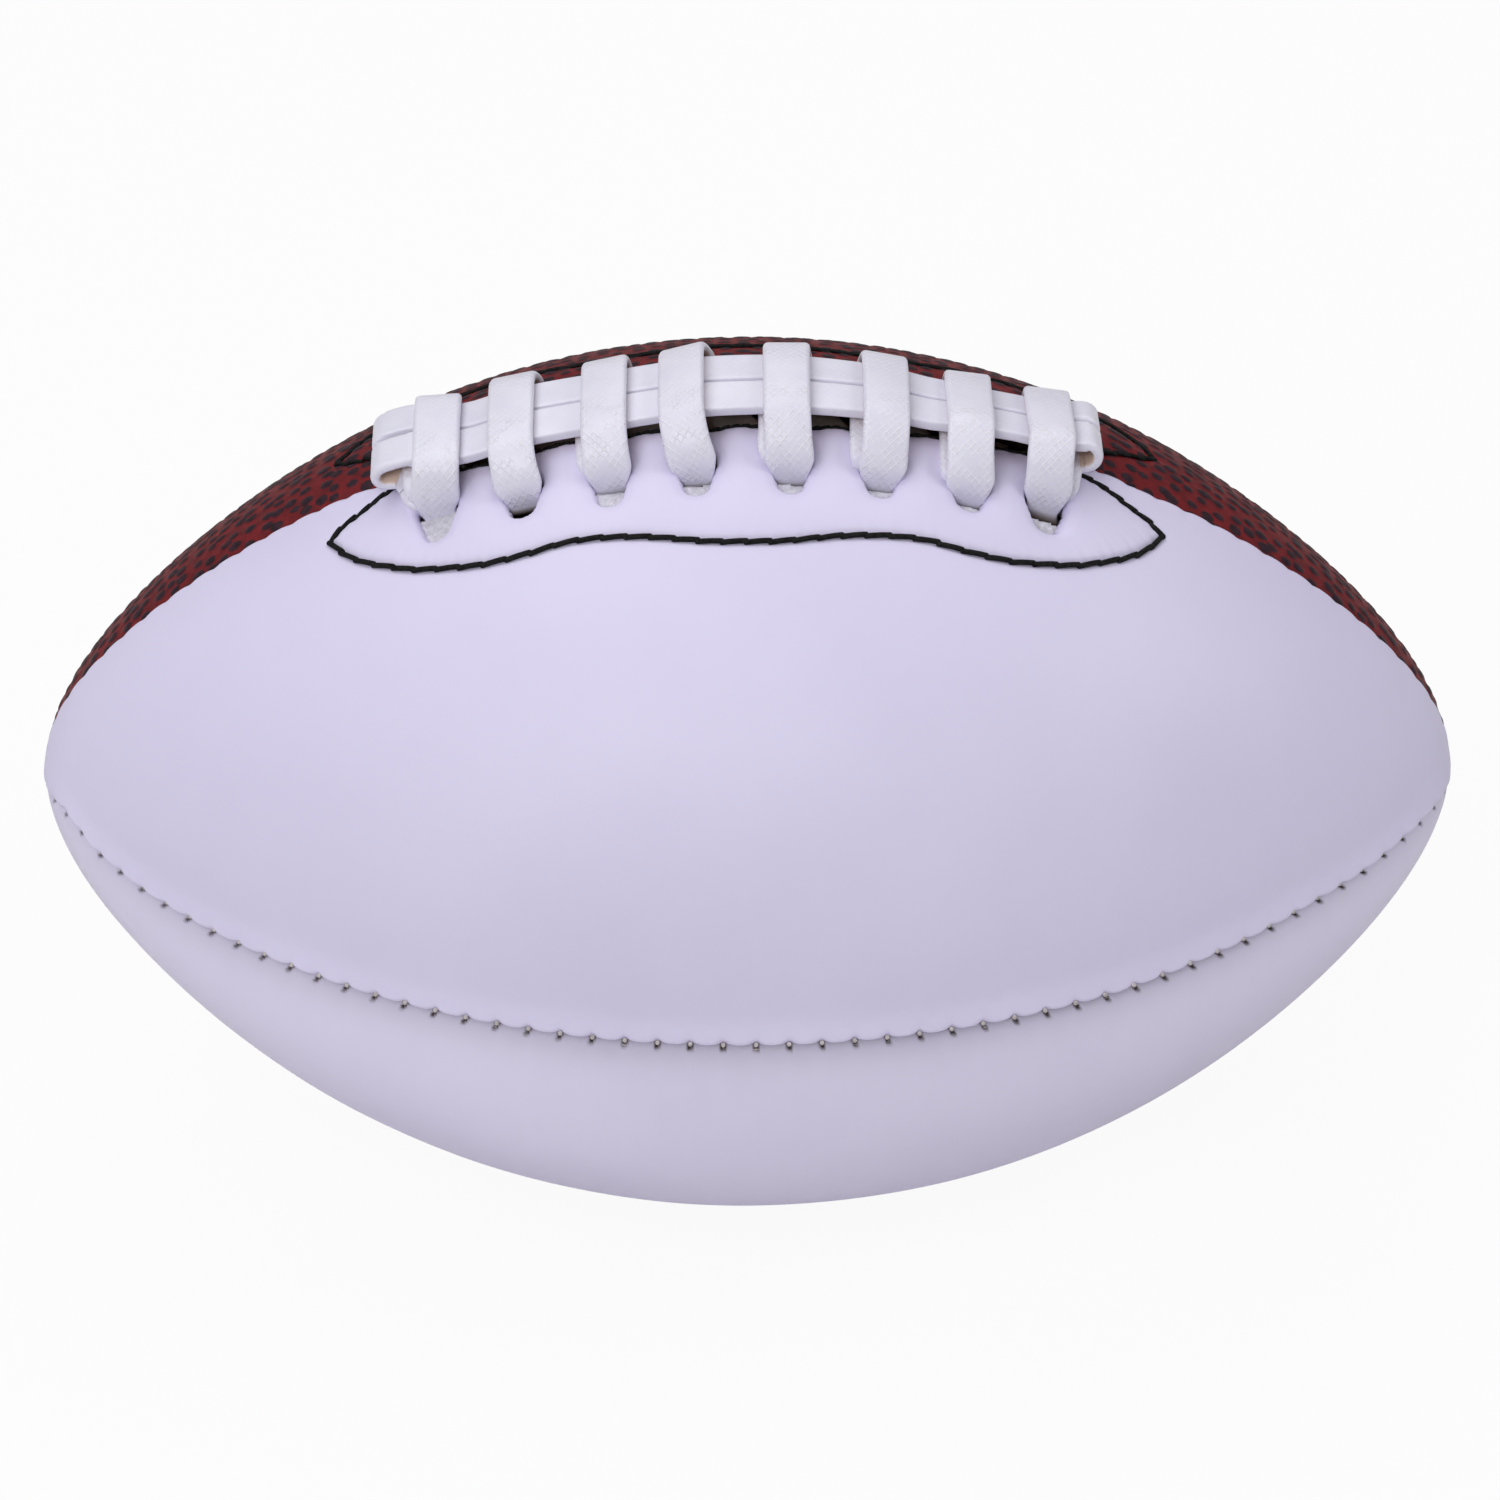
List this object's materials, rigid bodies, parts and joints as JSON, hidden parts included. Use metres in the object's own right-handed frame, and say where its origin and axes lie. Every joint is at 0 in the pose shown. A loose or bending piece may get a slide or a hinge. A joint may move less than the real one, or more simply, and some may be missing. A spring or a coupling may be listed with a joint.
{
  "type": "american football",
  "caption": "Prolate leather ball of smooth white and pebbled brown sewn panels, closed by a threaded white lace over an air bladder.",
  "frame": {"origin": "middle of the ball, on its long axis, halfway between the two tips", "axes": "+X along the ball from the left tip to the right tip, +Z out through the middle of the lacing, -Y towards the front white panel"},
  "size_m": [0.277, 0.172, 0.1813],
  "materials": {
    "white_cover": "smooth satin",
    "brown_cover": "pebbled",
    "lace": "moulded satin with a fine cross-hatch",
    "black_thread": "twisted thread",
    "seam_thread": "twisted thread",
    "lining": "woven cloth",
    "tongue": "dark felt",
    "bladder": "matte",
    "valve": "matte"
  },
  "bodies": {
    "root": {"panel_white_front": "white_cover", "panel_white_lower": "white_cover", "panel_brown_lower": "brown_cover", "panel_brown_rear": "brown_cover", "seam_thread_front": "seam_thread", "seam_thread_bottom": "seam_thread", "seam_thread_rear": "seam_thread", "seam_thread_lace_left": "seam_thread", "seam_thread_lace_right": "seam_thread", "lace": "lace", "tongue": "tongue", "facing_front": "lining", "facing_rear": "lining", "facing_thread_front": "black_thread", "facing_thread_rear": "black_thread", "lip_thread_front": "black_thread", "lip_thread_rear": "black_thread", "lining_white_front": "lining", "lining_white_lower": "lining", "lining_brown_lower": "lining", "lining_brown_rear": "lining", "bladder": "bladder", "valve": "valve"}
  },
  "joints": []
}
